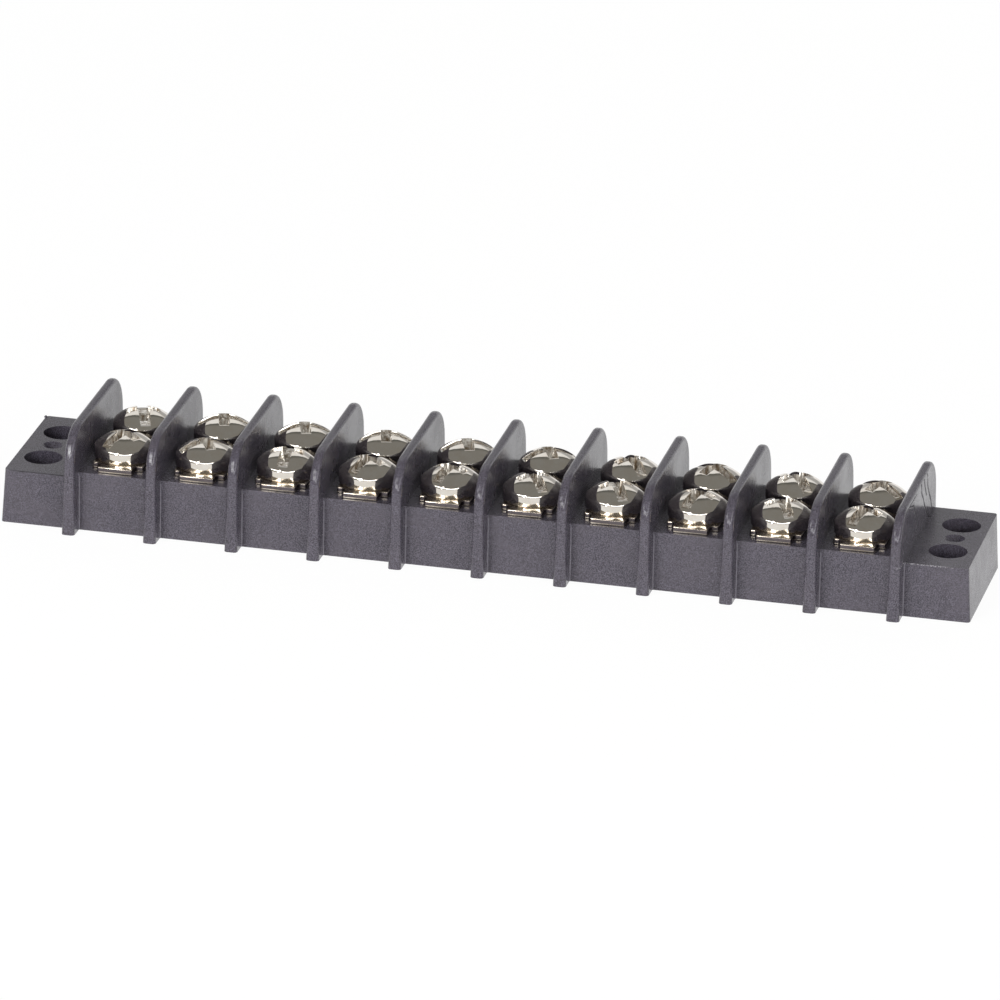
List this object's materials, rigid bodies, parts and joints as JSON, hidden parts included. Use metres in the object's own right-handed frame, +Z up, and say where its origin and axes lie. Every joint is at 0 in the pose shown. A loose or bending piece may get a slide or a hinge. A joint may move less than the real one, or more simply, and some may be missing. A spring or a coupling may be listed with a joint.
{
  "type": "barrier terminal strip",
  "caption": "Barrier terminal strip: moulded base with tall rounded barriers between circuits, feed-through metal bars, domed terminal screws and drilled mounting ears.",
  "frame": {"origin": "middle of the flat underside", "axes": "+X along the strip, +Y from the front row of screws to the back row, +Z up out of the underside"},
  "size_m": [0.112, 0.0222, 0.0124],
  "materials": {
    "moulding": "charcoal thermoset, satin with a fine pale speckle",
    "bar_plating": "nickel plated, bright",
    "screw_plating": "nickel plated, polished"
  },
  "bodies": {
    "strip": {"housing": "moulding", "terminal_bar_1": "bar_plating", "terminal_bar_2": "bar_plating", "terminal_bar_3": "bar_plating", "terminal_bar_4": "bar_plating", "terminal_bar_5": "bar_plating", "terminal_bar_6": "bar_plating", "terminal_bar_7": "bar_plating", "terminal_bar_8": "bar_plating", "terminal_bar_9": "bar_plating", "terminal_bar_10": "bar_plating"},
    "front_screw_1": {"front_screw_1": "screw_plating"},
    "front_screw_2": {"front_screw_2": "screw_plating"},
    "front_screw_3": {"front_screw_3": "screw_plating"},
    "front_screw_4": {"front_screw_4": "screw_plating"},
    "front_screw_5": {"front_screw_5": "screw_plating"},
    "front_screw_6": {"front_screw_6": "screw_plating"},
    "front_screw_7": {"front_screw_7": "screw_plating"},
    "front_screw_8": {"front_screw_8": "screw_plating"},
    "front_screw_9": {"front_screw_9": "screw_plating"},
    "front_screw_10": {"front_screw_10": "screw_plating"},
    "back_screw_1": {"back_screw_1": "screw_plating"},
    "back_screw_2": {"back_screw_2": "screw_plating"},
    "back_screw_3": {"back_screw_3": "screw_plating"},
    "back_screw_4": {"back_screw_4": "screw_plating"},
    "back_screw_5": {"back_screw_5": "screw_plating"},
    "back_screw_6": {"back_screw_6": "screw_plating"},
    "back_screw_7": {"back_screw_7": "screw_plating"},
    "back_screw_8": {"back_screw_8": "screw_plating"},
    "back_screw_9": {"back_screw_9": "screw_plating"},
    "back_screw_10": {"back_screw_10": "screw_plating"}
  },
  "joints": [
    {"name": "front_screw_1_turn", "type": "hinge", "parent": "strip", "child": "front_screw_1", "pos_m": [-0.04286, -0.0041, 0.00767], "axis": [0, 0, 1], "range_deg": [0, 810]},
    {"name": "front_screw_2_turn", "type": "hinge", "parent": "strip", "child": "front_screw_2", "pos_m": [-0.03334, -0.0041, 0.00767], "axis": [0, 0, 1], "range_deg": [0, 810]},
    {"name": "front_screw_3_turn", "type": "hinge", "parent": "strip", "child": "front_screw_3", "pos_m": [-0.02381, -0.0041, 0.00767], "axis": [0, 0, 1], "range_deg": [0, 810]},
    {"name": "front_screw_4_turn", "type": "hinge", "parent": "strip", "child": "front_screw_4", "pos_m": [-0.01429, -0.0041, 0.00767], "axis": [0, 0, 1], "range_deg": [0, 810]},
    {"name": "front_screw_5_turn", "type": "hinge", "parent": "strip", "child": "front_screw_5", "pos_m": [-0.00476, -0.0041, 0.00767], "axis": [0, 0, 1], "range_deg": [0, 810]},
    {"name": "front_screw_6_turn", "type": "hinge", "parent": "strip", "child": "front_screw_6", "pos_m": [0.00476, -0.0041, 0.00767], "axis": [0, 0, 1], "range_deg": [0, 810]},
    {"name": "front_screw_7_turn", "type": "hinge", "parent": "strip", "child": "front_screw_7", "pos_m": [0.01429, -0.0041, 0.00767], "axis": [0, 0, 1], "range_deg": [0, 810]},
    {"name": "front_screw_8_turn", "type": "hinge", "parent": "strip", "child": "front_screw_8", "pos_m": [0.02381, -0.0041, 0.00767], "axis": [0, 0, 1], "range_deg": [0, 810]},
    {"name": "front_screw_9_turn", "type": "hinge", "parent": "strip", "child": "front_screw_9", "pos_m": [0.03334, -0.0041, 0.00767], "axis": [0, 0, 1], "range_deg": [0, 810]},
    {"name": "front_screw_10_turn", "type": "hinge", "parent": "strip", "child": "front_screw_10", "pos_m": [0.04286, -0.0041, 0.00767], "axis": [0, 0, 1], "range_deg": [0, 810]},
    {"name": "back_screw_1_turn", "type": "hinge", "parent": "strip", "child": "back_screw_1", "pos_m": [-0.04286, 0.0041, 0.00767], "axis": [0, 0, 1], "range_deg": [0, 810]},
    {"name": "back_screw_2_turn", "type": "hinge", "parent": "strip", "child": "back_screw_2", "pos_m": [-0.03334, 0.0041, 0.00767], "axis": [0, 0, 1], "range_deg": [0, 810]},
    {"name": "back_screw_3_turn", "type": "hinge", "parent": "strip", "child": "back_screw_3", "pos_m": [-0.02381, 0.0041, 0.00767], "axis": [0, 0, 1], "range_deg": [0, 810]},
    {"name": "back_screw_4_turn", "type": "hinge", "parent": "strip", "child": "back_screw_4", "pos_m": [-0.01429, 0.0041, 0.00767], "axis": [0, 0, 1], "range_deg": [0, 810]},
    {"name": "back_screw_5_turn", "type": "hinge", "parent": "strip", "child": "back_screw_5", "pos_m": [-0.00476, 0.0041, 0.00767], "axis": [0, 0, 1], "range_deg": [0, 810]},
    {"name": "back_screw_6_turn", "type": "hinge", "parent": "strip", "child": "back_screw_6", "pos_m": [0.00476, 0.0041, 0.00767], "axis": [0, 0, 1], "range_deg": [0, 810]},
    {"name": "back_screw_7_turn", "type": "hinge", "parent": "strip", "child": "back_screw_7", "pos_m": [0.01429, 0.0041, 0.00767], "axis": [0, 0, 1], "range_deg": [0, 810]},
    {"name": "back_screw_8_turn", "type": "hinge", "parent": "strip", "child": "back_screw_8", "pos_m": [0.02381, 0.0041, 0.00767], "axis": [0, 0, 1], "range_deg": [0, 810]},
    {"name": "back_screw_9_turn", "type": "hinge", "parent": "strip", "child": "back_screw_9", "pos_m": [0.03334, 0.0041, 0.00767], "axis": [0, 0, 1], "range_deg": [0, 810]},
    {"name": "back_screw_10_turn", "type": "hinge", "parent": "strip", "child": "back_screw_10", "pos_m": [0.04286, 0.0041, 0.00767], "axis": [0, 0, 1], "range_deg": [0, 810]}
  ]
}
